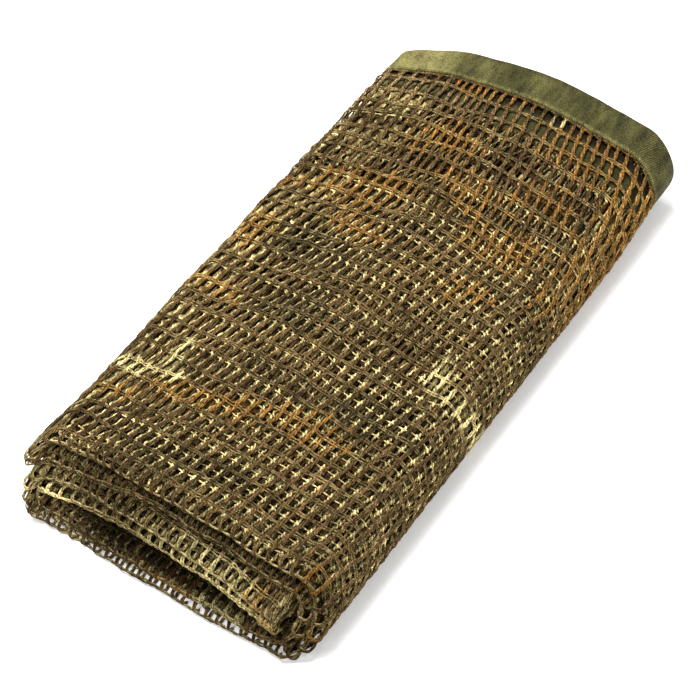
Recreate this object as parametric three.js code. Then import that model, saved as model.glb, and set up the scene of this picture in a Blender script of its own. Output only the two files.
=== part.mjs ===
// An open-mesh net scarf with taped ends, folded flat into a soft packet.
//
// The scarf is halved crosswise until its ends lie together, halved lengthwise, and then
// folded in three like a letter. Here each ply of cloth stands for two layers of the net
// pressed together, so the packet has six strips, one on the other, of four plies each.
//
// Axes: X across the packet, +Y towards the taped ends, +Z up from the face it rests on.

import * as THREE from 'three';

const { lerp, smoothstep } = THREE.MathUtils;

// ---------------------------------------------------------------- driving sizes, mm

const PLY = 1.0;                  // thickness of one ply of cloth
const PLY_GAP = 0.3;              // air between two plies of a strip
const STRIP_GAP = 0.4;            // air between two strips
const TAPE_WIDTH = 15.5;          // width of the tape sewn to each end of the scarf
const OUTER_TAPE_THICKNESS = 1.9; // of the taped end that lies on the outside
const INNER_TAPE_THICKNESS = 0.9; // of the taped end that lies one ply further in
const SEAM_GAP = 0.7;             // between a ply's cut end and its tape

const FLAT_LEFT = -62;            // where the strips' flat runs turn into their side folds
const FLAT_RIGHT = 60;
const SELVEDGE_X = 59;            // where the two selvedges end, inside the right folds
const FAR = 136;                  // far edge of the longest strip
const MIDDLE_X = 0.3;             // middle of the packet's outline, which is the origin
const MIDDLE_Y = 1.5;
const INNER_SETBACK = 7;          // how far the two inner plies stop short at the near edge
const FAR_FOLD_SETBACK = 3;       // and the fold of the two lower plies at the far edge

// The six strips, from the table up. left and right are the ends of the near
// edge, back is how far its middle lies back from the line between them, and setback is
// how far the far edge stops short of the longest one. raised is 1 for the strips that
// lie over the hollow, and free is true for those that end in a selvedge on the right.
const STRIPS = [
  { level: 1, left: -130, right: -131.5, back: -1.5, setback: 5.0, raised: 0, free: false },
  { level: 2, left: -128, right: -130, back: -1, setback: 3.5, raised: 0, free: false },
  { level: 3, left: -124, right: -130.5, back: 4, setback: 4.5, raised: 1, free: true },
  { level: 4, left: -121, right: -128.5, back: 3.5, setback: 2.5, raised: 1, free: true },
  { level: 5, left: -116, right: -116, back: 0, setback: 3.0, raised: 1, free: false },
  { level: 6, left: -111, right: -113, back: 0, setback: 0.0, raised: 1, free: false },
];

// The scarf's way across the packet, from one selvedge to the other. A row with towards
// is a flat run of one level. A row with side is a turn between two levels: depth counts
// the strips wrapped around it; roundness is 1 for a half circle and less for a flatter
// turn; push moves the middle of its near edge; flare spreads it at the near corner; and
// steps is the number of its facets.
const ROUTE = [
  { towards: 'left', level: 4 },
  { side: 'left', from: 4, to: 1, depth: 0, roundness: 1.0, push: -3, flare: 0, steps: 6 },
  { towards: 'right', level: 1 },
  { side: 'right', from: 1, to: 6, depth: 0, roundness: 0.8, push: 5, flare: 0, steps: 8 },
  { towards: 'left', level: 6 },
  { side: 'left', from: 6, to: 5, depth: 0, roundness: 1.0, push: -8, flare: 3.5, steps: 4 },
  { towards: 'right', level: 5 },
  { side: 'right', from: 5, to: 2, depth: 1, roundness: 0.8, push: 3, flare: 0, steps: 8 },
  { towards: 'left', level: 2 },
  { side: 'left', from: 2, to: 3, depth: 1, roundness: 1.0, push: 0, flare: 0, steps: 6 },
  { towards: 'right', level: 3 },
];
const FLAT_STEPS = 5;             // facets of a flat run across the packet
const PLY_SHARES = [0.22, 0.45, 0.68]; // inner stations of a ply along the packet

// How the packet lies: thickest at its middle, hollow at its near edge, and with a far
// edge that slants towards the near one on the right.
const CROWN = 0.07;               // share of its height that the middle gains
const CROWN_X = -8;               // where the crown is highest
const CROWN_Y = 30;
const CROWN_HALF_WIDTH = 78;
const CROWN_HALF_LENGTH = 170;
const MOUTH = 4.2;                // height of the hollow between strips 2 and 3
const MOUTH_LEFT = -65;           // where it begins on the left
const MOUTH_FULL = [-20, 10];     // between these it has its full height
const MOUTH_RIGHT = 60;           // and here it is lowest again
const MOUTH_REST = 0.3;           // with this share of its height
const MOUTH_DEPTH = 90;           // how far in from the near edge it goes
const SAG = 0.28;                 // share of their height that the strips below it lose
const SAG_RIGHT = 25;             // from here to MOUTH_RIGHT they get it back
const SLANT = -0.125;             // half the slope of the far edge's right part
const SLANT_X = 8;                // where that part begins
const SLANT_BLEND = 15;           // how gently it begins
const CORNER = 9;                 // how much of the far left corner is rounded off
const CORNER_START = 30;          // how far left of the middle that begins
const CORNER_END = 75;
const TUCKED = 3.5;               // how far the lower right corner draws in at the far edge
const TUCKED_FROM = { x: 20, y: 86, z: 20 };
const TUCKED_TO = { x: 60, y: 121, z: 0 };
const FLARE_START = -80;          // where a turn's flare begins and where it is full
const FLARE_FULL = -115;

const PLY_PITCH = PLY + PLY_GAP;
const STRIP = 4 * PLY + 3 * PLY_GAP;
const STRIP_PITCH = STRIP + STRIP_GAP;

// ---------------------------------------------------------------- how the packet lies

function mouth(x, y) {
  const left = smoothstep(x, MOUTH_LEFT, MOUTH_FULL[0]);
  const right = 1 - (1 - MOUTH_REST) * smoothstep(x, MOUTH_FULL[1], MOUTH_RIGHT);
  return MOUTH * left * right * (1 - smoothstep(y, -FAR, MOUTH_DEPTH - FAR));
}

function sag(x, y) {
  const left = smoothstep(x, MOUTH_LEFT, MOUTH_FULL[0]);
  const right = 1 - smoothstep(x, SAG_RIGHT, MOUTH_RIGHT);
  return SAG * left * right * (1 - smoothstep(y, -FAR, MOUTH_DEPTH - FAR));
}

function crown(x, y) {
  const across = 1 - ((x - CROWN_X) / CROWN_HALF_WIDTH) ** 2;
  const along = 1 - ((y - CROWN_Y) / CROWN_HALF_LENGTH) ** 2;
  return CROWN * across * along;
}

function slant(x, y) {
  const along = (y + FAR) / (2 * FAR);
  const right = x - SLANT_X;
  const rounded = CORNER * smoothstep(-x, CORNER_START, CORNER_END) * along ** 4;
  return SLANT * (Math.hypot(right, SLANT_BLEND) + right) * along * (2 - along) - rounded;
}

function tucked(x, y, z) {
  return TUCKED * smoothstep(x, TUCKED_FROM.x, TUCKED_TO.x)
    * smoothstep(y, TUCKED_FROM.y, TUCKED_TO.y)
    * (1 - smoothstep(z, TUCKED_TO.z, TUCKED_FROM.z));
}

function flared(station, y) {
  return station.flare * smoothstep(-y, -FLARE_START, -FLARE_FULL);
}

// A point of the packet: station is where the cloth is on its way across, y is how far
// along, and n is its height over the middle of the strip, towards the strip's first ply.
function place(station, y, n) {
  const x = station.x + n * station.nx;
  const unraised = (station.z + n * station.nz) * (1 - (1 - station.raised) * sag(x, y));
  const z = unraised + station.raised * mouth(x, y);
  return [
    x - tucked(x, y, z) - flared(station, y) - MIDDLE_X,
    y + slant(x, y) - MIDDLE_Y,
    z * (1 + crown(x, y)),
  ];
}

// ---------------------------------------------------------------- the way across

const heightOf = (level) => STRIP / 2 + (level - 1) * STRIP_PITCH;

function turnShape(turn) {
  const halfHeight = Math.abs(heightOf(turn.from) - heightOf(turn.to)) / 2;
  const wrapped = turn.depth * STRIP_PITCH;
  const reach = turn.roundness * (halfHeight + wrapped) - wrapped;
  return {
    x: turn.side === 'left' ? FLAT_LEFT : FLAT_RIGHT,
    z: (heightOf(turn.from) + heightOf(turn.to)) / 2,
    reach: turn.side === 'left' ? -reach : reach,
    halfHeight: turn.from > turn.to ? halfHeight : -halfHeight,
  };
}

function nearEdge(strip, x) {
  const share = (x - FLAT_LEFT) / (FLAT_RIGHT - FLAT_LEFT);
  return lerp(strip.left, strip.right, share)
    + 4 * strip.back * share * (1 - share);
}

// All strips share the inner stations of their flat runs, so that they bend alike.
function flatStations(row) {
  const { level, towards } = row;
  const strip = STRIPS[level - 1];
  const xs = [];
  for (let i = 0; i < FLAT_STEPS; i += 1) {
    xs.push(lerp(FLAT_LEFT, FLAT_RIGHT, i / FLAT_STEPS));
  }
  xs.push(strip.free ? SELVEDGE_X : FLAT_RIGHT);
  if (towards === 'left') xs.reverse();
  return xs.map((x) => ({
    x,
    z: heightOf(level),
    nx: 0,
    nz: towards === 'left' ? 1 : -1,
    near: nearEdge(strip, x),
    far: FAR - strip.setback,
    raised: strip.raised,
    flare: 0,
  }));
}

function turnStations(turn) {
  const shape = turnShape(turn);
  const [from, to] = [STRIPS[turn.from - 1], STRIPS[turn.to - 1]];
  const stations = [];
  for (let i = 1; i < turn.steps; i += 1) {
    const angle = (Math.PI * i) / turn.steps;
    const share = (1 - Math.cos(angle)) / 2;
    const nx = -shape.halfHeight * Math.sin(angle);
    const nz = -shape.reach * Math.cos(angle);
    const length = Math.hypot(nx, nz);
    stations.push({
      x: shape.x + shape.reach * Math.sin(angle),
      z: shape.z + shape.halfHeight * Math.cos(angle),
      nx: nx / length,
      nz: nz / length,
      near: lerp(nearEdge(from, shape.x), nearEdge(to, shape.x), share)
        + turn.push * Math.sin(angle),
      far: FAR - lerp(from.setback, to.setback, share),
      raised: lerp(from.raised, to.raised, share),
      flare: turn.flare * Math.sin(angle),
    });
  }
  return stations;
}

const stations = ROUTE.flatMap((row) => (row.side ? turnStations(row) : flatStations(row)));

// ---------------------------------------------------------------- the plies of a strip

// A point of a strip's section lies at a share of the way from the near edge to the far
// one, plus an offset, at a height n; sideN and sideY point out of the cloth's first side.
const plyPoint = (n, sideN, share, offset) => ({ share, offset, n, sideN, sideY: 0 });

const INNER_FOLD = INNER_SETBACK + PLY / 2 + PLY_PITCH / 2;
const UNDER_OUTER_TAPE = -TAPE_WIDTH - SEAM_GAP;
const UNDER_INNER_TAPE = -2 * TAPE_WIDTH - 2 * SEAM_GAP;

// A ply from its near fold to one of its far stations; all plies share these stations, so
// that they bend alike.
function ply(n, sideN, farStations) {
  return [
    ...PLY_SHARES.map((share) => plyPoint(n, sideN, share, 0)),
    ...farStations.map((offset) => plyPoint(n, sideN, 1, offset)),
  ];
}

// The fold between two plies: share 0 is the near edge and 1 the far one. It runs from
// n + radius to n - radius, and outside is 1 where the cloth's first side is the outer one.
function fold({ share, setback, n, radius, outside, steps }) {
  const inwards = share === 0 ? 1 : -1;
  const size = Math.abs(radius);
  const points = [];
  for (let i = 0; i <= steps; i += 1) {
    const angle = (Math.PI * i) / steps;
    points.push({
      share,
      offset: inwards * (setback + PLY / 2 + size * (1 - Math.sin(angle))),
      n: n + radius * Math.cos(angle),
      sideN: outside * Math.sign(radius) * Math.cos(angle),
      sideY: -outside * inwards * Math.sin(angle),
    });
  }
  return points;
}

// The cloth's way through a strip: from its far end along the outermost ply, back along
// the one furthest from it, and through the two between them.
const OUTER = 1.5 * PLY_PITCH;
const INNER = 0.5 * PLY_PITCH;
const section = [
  ...ply(OUTER, 1, [UNDER_INNER_TAPE, UNDER_OUTER_TAPE]).reverse(),
  plyPoint(OUTER, 1, 0, INNER_FOLD),
  ...fold({ share: 0, setback: 0, n: 0, radius: OUTER, outside: 1, steps: 4 }),
  plyPoint(-OUTER, -1, 0, INNER_FOLD),
  ...ply(-OUTER, -1, [UNDER_INNER_TAPE, UNDER_OUTER_TAPE]),
  ...fold({ share: 1, setback: FAR_FOLD_SETBACK, n: -PLY_PITCH, radius: -INNER,
    outside: 1, steps: 3 }),
  ...ply(-INNER, 1, [UNDER_INNER_TAPE, UNDER_OUTER_TAPE]).reverse(),
  ...fold({ share: 0, setback: INNER_SETBACK, n: 0, radius: -INNER, outside: -1, steps: 3 }),
  ...ply(INNER, -1, [UNDER_INNER_TAPE]),
];

// The section of a taped end, from its free edge to its seam.
const tapeSection = (n, offset) => [plyPoint(n, 1, 1, offset),
  plyPoint(n, 1, 1, offset - TAPE_WIDTH)];

// ---------------------------------------------------------------- solids

const alongOf = (station, point) => (
  lerp(station.near, station.far, point.share) + point.offset);

// Sweeps a section of the given thickness through all the stations, and closes its two
// faces and its four edges.
function sweptCloth(points, thickness) {
  const [rows, columns] = [stations.length, points.length];
  const positions = [];
  for (const side of [thickness / 2, -thickness / 2]) {
    for (const station of stations) {
      for (const point of points) {
        const y = alongOf(station, point) + side * point.sideY;
        positions.push(...place(station, y, point.n + side * point.sideN));
      }
    }
  }
  const index = [];
  const quad = (a, b, c, d) => index.push(a, b, c, a, c, d);
  const at = (side, row, column) => (side * rows + row) * columns + column;
  for (let row = 0; row < rows - 1; row += 1) {
    const rightwards = stations[row + 1].x > stations[row].x;
    for (let column = 0; column < columns - 1; column += 1) {
      const [a, b, c, d] = [at(0, row, column), at(0, row + 1, column),
        at(0, row + 1, column + 1), at(0, row, column + 1)];
      const under = rows * columns;
      const farwards = alongOf(stations[row], points[column + 1])
        > alongOf(stations[row], points[column]);
      // The facets of cloth that lies on cloth are cut along the same diagonal.
      if (rightwards === farwards) {
        quad(a, b, c, d);
        quad(a + under, d + under, c + under, b + under);
      } else {
        quad(b, c, d, a);
        quad(b + under, a + under, d + under, c + under);
      }
    }
    quad(at(0, row + 1, 0), at(0, row, 0), at(1, row, 0), at(1, row + 1, 0));
    quad(at(0, row, columns - 1), at(0, row + 1, columns - 1),
      at(1, row + 1, columns - 1), at(1, row, columns - 1));
  }
  for (let column = 0; column < columns - 1; column += 1) {
    quad(at(0, 0, column), at(0, 0, column + 1), at(1, 0, column + 1), at(1, 0, column));
    quad(at(0, rows - 1, column + 1), at(0, rows - 1, column),
      at(1, rows - 1, column), at(1, rows - 1, column + 1));
  }
  const geometry = new THREE.BufferGeometry();
  geometry.setAttribute('position', new THREE.Float32BufferAttribute(positions, 3));
  geometry.setIndex(index);
  geometry.computeVertexNormals();
  return geometry;
}

function addCloth(group, name, geometry, material) {
  const mesh = new THREE.Mesh(geometry, material);
  mesh.name = name;
  group.add(mesh);
}

// ---------------------------------------------------------------- the scarf

const netting = new THREE.MeshStandardMaterial({ color: 0x4c4126, roughness: 0.95,
  metalness: 0 });
const twill = new THREE.MeshStandardMaterial({ color: 0x5c6136, roughness: 0.9,
  metalness: 0 });

const scarf = new THREE.Group();
addCloth(scarf, 'net_cloth', sweptCloth(section, PLY), netting);
addCloth(scarf, 'end_binding_a',
  sweptCloth(tapeSection((STRIP - OUTER_TAPE_THICKNESS) / 2, 0), OUTER_TAPE_THICKNESS),
  twill);
addCloth(scarf, 'end_binding_b',
  sweptCloth(tapeSection(INNER, UNDER_OUTER_TAPE), INNER_TAPE_THICKNESS),
  twill);

export default scarf;
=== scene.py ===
"""An open-mesh net scarf with taped ends, folded flat: its yarns, tapes, stitches and print.

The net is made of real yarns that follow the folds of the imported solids. `across` gives the
way of the cloth from one selvedge to the other, at a place s on it. `SECTION` is its way back
and forth between the near and the far edge, at a place t. `place` is how the packet lies. A
ply is two layers of net: a with its print outwards, and under it b with its pale reverse
outwards. Lengths are in millimetres until a mesh is made.
"""

import bpy
import numpy as np
from mathutils import Matrix, Vector


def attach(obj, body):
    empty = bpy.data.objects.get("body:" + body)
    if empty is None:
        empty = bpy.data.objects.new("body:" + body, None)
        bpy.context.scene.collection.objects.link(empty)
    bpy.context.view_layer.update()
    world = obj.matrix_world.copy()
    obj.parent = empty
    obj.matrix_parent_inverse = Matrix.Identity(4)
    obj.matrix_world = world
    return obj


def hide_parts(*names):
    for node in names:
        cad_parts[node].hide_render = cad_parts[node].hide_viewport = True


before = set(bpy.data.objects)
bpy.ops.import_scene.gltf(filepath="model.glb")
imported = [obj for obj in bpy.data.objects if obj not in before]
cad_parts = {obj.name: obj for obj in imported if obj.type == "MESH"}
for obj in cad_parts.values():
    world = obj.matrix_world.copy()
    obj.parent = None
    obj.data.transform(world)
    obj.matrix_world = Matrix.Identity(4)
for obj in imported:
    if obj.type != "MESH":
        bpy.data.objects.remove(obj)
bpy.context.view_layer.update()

MM = 0.001

# ------ the folds, as in the CAD

PLY = 1.0  # thickness of one ply of cloth
PLY_GAP = 0.3  # air between two plies of a strip
STRIP_GAP = 0.4  # air between two strips
TAPE_WIDTH = 15.5  # of the tape sewn to each end of the scarf
OUTER_TAPE_THICKNESS = 1.9  # of the taped end that lies on the outside
INNER_TAPE_THICKNESS = 0.9  # of the one that lies a ply further in
INNER_TAPE_DROP = 1.5  # how much further in than its solid the limp inner tape lies
SEAM_GAP = 0.7  # between a ply's cut end and its tape
FLAT_LEFT = -62  # where the flat runs turn into the side folds
FLAT_RIGHT = 60
SELVEDGE_X = 59  # where the two selvedges lie
FAR = 136  # far edge of the longest strip
MIDDLE_X = 0.3  # middle of the packet's outline, which is the origin
MIDDLE_Y = 1.5
INNER_SETBACK = 7  # how far the two inner plies stop short at the near edge
FAR_FOLD_SETBACK = 3  # and the fold of the two lower plies at the far edge

# The strips, by level from the table up: the near edge at its left and right end, how far its
# middle lies back, how far the far edge stops short, and whether it lies over the hollow.
STRIPS = {
    1: dict(left=-130, right=-131.5, back=-1.5, setback=5.0, raised=0),
    2: dict(left=-128, right=-130, back=-1, setback=3.5, raised=0),
    3: dict(left=-124, right=-130.5, back=4, setback=4.5, raised=1),
    4: dict(left=-121, right=-128.5, back=3.5, setback=2.5, raised=1),
    5: dict(left=-116, right=-116, back=0, setback=3.0, raised=1),
    6: dict(left=-111, right=-113, back=0, setback=0.0, raised=1),
}

# The way across the packet, from one selvedge to the other: flat runs of one level, and turns
# between two. depth is how many strips a turn lies inside of, roundness is 1 for a half circle
# and less for a flatter turn, push moves the middle of its near edge, and flare spreads it at
# the near corner.
ROUTE = [
    dict(run=4, towards="left", start=SELVEDGE_X),
    dict(turn=(4, 1), side="left", roundness=1.0, push=-3),
    dict(run=1, towards="right"),
    dict(turn=(1, 6), side="right", roundness=0.8, push=5),
    dict(run=6, towards="left"),
    dict(turn=(6, 5), side="left", roundness=1.0, push=-8, flare=3.5),
    dict(run=5, towards="right"),
    dict(turn=(5, 2), side="right", depth=1, roundness=0.8, push=3),
    dict(run=2, towards="left"),
    dict(turn=(2, 3), side="left", depth=1, roundness=1.0, push=0),
    dict(run=3, towards="right", stop=SELVEDGE_X),
]
RUN_STEPS = 60  # stations of a run, and of a turn
TURN_STEPS = 24

CROWN = 0.07  # share of its height that the packet's middle gains
CROWN_X, CROWN_Y = -8, 30  # where the crown is highest
CROWN_HALF_WIDTH = 78
CROWN_HALF_LENGTH = 170
MOUTH = 4.2  # height of the hollow between strips 2 and 3
MOUTH_LEFT = -65  # where it begins on the left
MOUTH_FULL = (-20, 10)  # between these it has its full height
MOUTH_RIGHT = 60  # and here it is lowest again
MOUTH_REST = 0.3  # with this share of its height
MOUTH_DEPTH = 90  # how far in from the near edge it goes
SAG = 0.28  # share of their height that the strips below it lose
SAG_RIGHT = 25  # from here to MOUTH_RIGHT they get it back
SLANT = -0.125  # half the slope of the far edge's right part
SLANT_X = 8  # where that part begins
SLANT_BLEND = 15  # how gently it begins
CORNER = 9  # how much of the far left corner is rounded off
CORNER_START = 30  # how far left of the middle that begins, and is full
CORNER_END = 75
TUCKED = 3.5  # how far the lower right corner draws in at the far edge
TUCKED_FROM = (20, 86, 20)  # where that begins, and is full
TUCKED_TO = (60, 121, 0)
FLARE_START = -80  # where a turn's flare begins, and is full
FLARE_FULL = -115

PLY_PITCH = PLY + PLY_GAP
STRIP = 4 * PLY + 3 * PLY_GAP
STRIP_PITCH = STRIP + STRIP_GAP
OUTER = 1.5 * PLY_PITCH  # height of a strip's two outer plies over its middle
INNER = 0.5 * PLY_PITCH  # and of its two inner ones

RIPPLE = 0.022  # share of its height that the packet's soft waves add or take
DROOP = 0.65  # how far the loose corner hangs, for what it spreads
NOISE_CELLS = 61  # after so many features a noise repeats


def lerp(a, b, share):
    return a + (b - a) * share


def smoothstep(x, start, end):
    share = np.clip((x - start) / (end - start), 0, 1)
    return share * share * (3 - 2 * share)


def noise(seed, size, u, v, stretch=1.0):
    """Smooth noise from -1 to 1, with features about size across in u and size * stretch in
    v. Each seed has a pattern of its own."""
    grid = np.random.default_rng(seed).uniform(-1, 1, (NOISE_CELLS, NOISE_CELLS))
    u, v = np.asarray(u) / size, np.asarray(v) / (size * stretch)
    column, row = np.floor(u).astype(int), np.floor(v).astype(int)
    a, b = smoothstep(u - column, 0, 1), smoothstep(v - row, 0, 1)

    def corner(i, j):
        return grid[(column + i) % NOISE_CELLS, (row + j) % NOISE_CELLS]

    return lerp(lerp(corner(0, 0), corner(1, 0), a), lerp(corner(0, 1), corner(1, 1), a), b)


def uneven(u, v, *layers):
    """A sum of noises. Each is given by its seed, size and height, and its stretch if any."""
    return sum(height * noise(seed, size, u, v, *stretch)
               for seed, size, height, *stretch in layers)


def hollow(x, y):
    """1 at the hollow's near edge and 0 past its left side and its depth."""
    deep = smoothstep(y, -FAR, MOUTH_DEPTH - FAR)
    return smoothstep(x, MOUTH_LEFT, MOUTH_FULL[0]) * (1 - deep)


def mouth(x, y):
    """How far the hollow lifts the strips over it."""
    right = smoothstep(x, MOUTH_FULL[1], MOUTH_RIGHT)
    return MOUTH * hollow(x, y) * lerp(1, MOUTH_REST, right)


def sag(x, y):
    """What share of their height the strips below the hollow lose."""
    return SAG * hollow(x, y) * (1 - smoothstep(x, SAG_RIGHT, MOUTH_RIGHT))


def crown(x, y):
    """What share of its height the packet gains."""
    across_it = 1 - ((x - CROWN_X) / CROWN_HALF_WIDTH) ** 2
    along_it = 1 - ((y - CROWN_Y) / CROWN_HALF_LENGTH) ** 2
    return CROWN * across_it * along_it


def slant(x, y):
    """How far the slanting far edge and its round corner move the cloth along the packet."""
    along = (y + FAR) / (2 * FAR)
    right = x - SLANT_X
    rounded = CORNER * smoothstep(-x, CORNER_START, CORNER_END) * along ** 4
    return SLANT * (np.hypot(right, SLANT_BLEND) + right) * along * (2 - along) - rounded


def tucked(x, y, z):
    """How far the lower right corner is drawn in."""
    return (TUCKED * smoothstep(x, TUCKED_FROM[0], TUCKED_TO[0])
            * smoothstep(y, TUCKED_FROM[1], TUCKED_TO[1])
            * (1 - smoothstep(z, TUCKED_TO[2], TUCKED_FROM[2])))


def place(station, y, n):
    """Points of the packet, at height n over the middle of a strip."""
    x = station["x"] + n * station["nx"]
    z = station["z"] + n * station["nz"]
    z = z * (1 - (1 - station["raised"]) * sag(x, y)) + station["raised"] * mouth(x, y)
    waves = RIPPLE * (noise(3, 17, y + 0.12 * x, x, 3.5) + 0.6 * noise(4, 40, x, y))
    flared = station["flare"] * smoothstep(-y, -FLARE_START, -FLARE_FULL)
    return np.stack([
        x - tucked(x, y, z) - flared - MIDDLE_X,
        y + slant(x, y) - MIDDLE_Y,
        z * (1 + crown(x, y) + waves) - DROOP * flared], -1)


def height_of(level):
    return STRIP / 2 + (level - 1) * STRIP_PITCH


def level_of(station):
    return 1 + (station["z"] - STRIP / 2) / STRIP_PITCH


def near_edge(strip, x):
    share = (x - FLAT_LEFT) / (FLAT_RIGHT - FLAT_LEFT)
    return lerp(strip["left"], strip["right"], share) + 4 * strip["back"] * share * (1 - share)


def run_stations(leg):
    """Where the middle of a run lies and faces, and what its strip is like there."""
    strip = STRIPS[leg["run"]]
    ends = (FLAT_RIGHT, FLAT_LEFT) if leg["towards"] == "left" else (FLAT_LEFT, FLAT_RIGHT)
    x = np.linspace(leg.get("start", ends[0]), leg.get("stop", ends[1]), RUN_STEPS + 1)
    same = np.ones_like(x)
    return dict(
        x=x, z=height_of(leg["run"]) * same, nx=0 * x,
        nz=same if leg["towards"] == "left" else -same,
        near=near_edge(strip, x), far=(FAR - strip["setback"]) * same,
        raised=strip["raised"] * same, flare=0 * x, turned=0 * x)


def turn_stations(leg):
    """The same for a turn, which goes over from one strip to another."""
    start, end = leg["turn"]
    first, last = STRIPS[start], STRIPS[end]
    half = (height_of(start) - height_of(end)) / 2
    wrapped = leg.get("depth", 0) * STRIP_PITCH
    reach = leg["roundness"] * (abs(half) + wrapped) - wrapped
    reach = -reach if leg["side"] == "left" else reach
    angle = np.linspace(0, np.pi, TURN_STEPS + 1)
    share = (1 - np.cos(angle)) / 2
    nx, nz = -half * np.sin(angle), -reach * np.cos(angle)
    length = np.hypot(nx, nz)
    x = FLAT_LEFT if leg["side"] == "left" else FLAT_RIGHT
    return dict(
        x=x + reach * np.sin(angle),
        z=(height_of(start) + height_of(end)) / 2 + half * np.cos(angle),
        nx=nx / length, nz=nz / length,
        near=lerp(near_edge(first, x), near_edge(last, x), share) + leg["push"] * np.sin(angle),
        far=FAR - lerp(first["setback"], last["setback"], share),
        raised=lerp(first["raised"], last["raised"], share),
        flare=leg.get("flare", 0) * np.sin(angle), turned=angle)


def route_table():
    """All stations with how far along the cloth each is, and where each leg starts and ends.
    The length is that of the outermost ply, which is longer than the middle in a turn."""
    legs, where, total = [], [], 0.0
    for leg in ROUTE:
        rows = turn_stations(leg) if "turn" in leg else run_stations(leg)
        steps = np.hypot(np.diff(rows["x"]), np.diff(rows["z"])) + OUTER * np.diff(rows["turned"])
        rows["at"] = total + np.concatenate([[0], np.cumsum(steps)])
        where.append((total, rows["at"][-1]))
        total = rows["at"][-1]
        legs.append(rows)
    return {key: np.concatenate([rows[key] for rows in legs]) for key in legs[0]}, where


STATIONS, LEGS = route_table()
CLOTH_WIDTH = LEGS[-1][1]


def across(s):
    """The station at s on the cloth."""
    return {key: np.interp(s, STATIONS["at"], values)
            for key, values in STATIONS.items() if key != "at"}


USUAL_LENGTH = 252  # of a strip
TAPE_LAP = 2  # how far the net reaches under a tape
NET_START = -2.5  # where the count along the section starts, under the outer tape
PLY_STEPS = 2  # rows of the section for a ply, and for a fold
FOLD_STEPS = 16


def section_ply(n, side, start, end):
    """Rows of the section for a ply at height n, from start to end."""
    share, offset = np.linspace(start, end, PLY_STEPS + 1).T
    return np.stack([share, offset, n + 0 * share, side + 0 * share, 0 * share], 1)


def section_fold(share, setback, n, radius, outside):
    """Rows for a fold at the near edge (share 0) or the far one (share 1)."""
    inwards = 1 if share == 0 else -1
    angle = np.linspace(0, np.pi, FOLD_STEPS + 1)
    return np.stack([
        share + 0 * angle,
        inwards * (setback + PLY / 2 + abs(radius) * (1 - np.sin(angle))),
        n + radius * np.cos(angle),
        outside * np.sign(radius) * np.cos(angle),
        -outside * inwards * np.sin(angle)], 1)


def section_table():
    """The cloth's way through a strip. A row is the share of the way from the near to the
    far edge, an offset from there, the height n, and how far the cloth faces up and along
    the packet. With them come how far along the cloth each is, and where the parts are."""
    near_outer = (0, PLY / 2 + OUTER)
    near_inner = (0, INNER_SETBACK + PLY / 2 + INNER)
    far_fold = (1, -(FAR_FOLD_SETBACK + PLY / 2 + INNER))
    outer_end = (1, -TAPE_WIDTH + TAPE_LAP)
    inner_end = (1, -2 * TAPE_WIDTH - SEAM_GAP + TAPE_LAP)
    parts = [
        ("ply_1", section_ply(OUTER, 1, outer_end, near_outer)),
        ("near_fold", section_fold(0, 0, 0, OUTER, 1)),
        ("ply_4", section_ply(-OUTER, -1, near_outer, far_fold)),
        ("far_fold", section_fold(1, FAR_FOLD_SETBACK, -PLY_PITCH, -INNER, 1)),
        ("ply_3", section_ply(-INNER, 1, far_fold, near_inner)),
        ("inner_fold", section_fold(0, INNER_SETBACK, 0, -INNER, -1)),
        ("ply_2", section_ply(INNER, -1, near_inner, inner_end)),
    ]
    where, at, total = {}, [], NET_START
    for name, rows in parts:
        y = rows[:, 0] * USUAL_LENGTH + rows[:, 1]
        steps = np.hypot(np.diff(y), np.diff(rows[:, 2]))
        here = total + np.concatenate([[0], np.cumsum(steps)])
        where[name] = (total, here[-1])
        total = here[-1]
        at.append(here)
    return np.concatenate(at), np.concatenate([rows for _, rows in parts]), where


SECTION_AT, SECTION, PARTS = section_table()
NEAR_FOLD_AT = sum(PARTS["near_fold"]) / 2

UNDER_TAPE = 1.1  # how far the net dips where it goes under the outer tape
LOWEST_CLOTH = 0.03  # height of a yarn's middle on the floor


def cloth(s, t, lift, pull=0.0):
    """Points of the cloth at s across it and t along its section, lift outwards from the
    middle of its ply. pull draws the near folds back into the packet."""
    s, t, lift = np.broadcast_arrays(s, t, lift)
    station = across(s)
    share, offset, n, side_n, side_y = (
        np.interp(t, SECTION_AT, SECTION[:, k]) for k in range(5))
    pull = pull * (1 - smoothstep(np.abs(t - NEAR_FOLD_AT), 5, 17))
    near = station["near"] + pull + uneven(s, 0 * s, (5, 12, 0.7), (6, 4, 0.35))
    y = lerp(near, station["far"], share) + offset + lift * side_y
    n = n - UNDER_TAPE * (1 - smoothstep(t - NET_START, 1.5, 5))
    points = place(station, y, n + lift * side_n)
    points[..., 2] = np.maximum(points[..., 2], LOWEST_CLOTH)
    return points


# ------ the net

CELL = 5.6  # from one cord to the next
ROW = 7.9  # from one cross thread to the next
LAYER_LIFT = dict(a=0.42, b=-0.45)  # of each layer from the middle of its ply
CORD = dict(a=(0.88, 0.56), b=(0.70, 0.46))  # half width and height of the cords
THREAD = dict(a=0.45, b=0.48)  # radius of each strand of a cross thread

# How the cloth is drawn out of square.
LEAN = 0.17  # how far the cords of the outermost ply lean, for their length
LEAN_AT = (0, LEGS[4][0], LEGS[4][1], CLOTH_WIDTH)
LEAN_END = PARTS["near_fold"][0]
FAR_LEAN = dict(a=(-0.12, -0.22), b=(0.08, -0.03))  # and near its far edge, left and right
FAR_LEAN_TO = 75
RIGHT_PUSH = 5.5  # how far the far right cords are pushed along the route
LEFT_PUSH = 5  # and the left ones back
ZIGZAG = dict(a=0.35, b=0.4)  # how far the threads pull a cord to and fro
BUNCH = 1.3  # how far the left cross threads are drawn into dense bands
BUNCH_LENGTH = 21  # from one band to the next

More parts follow.
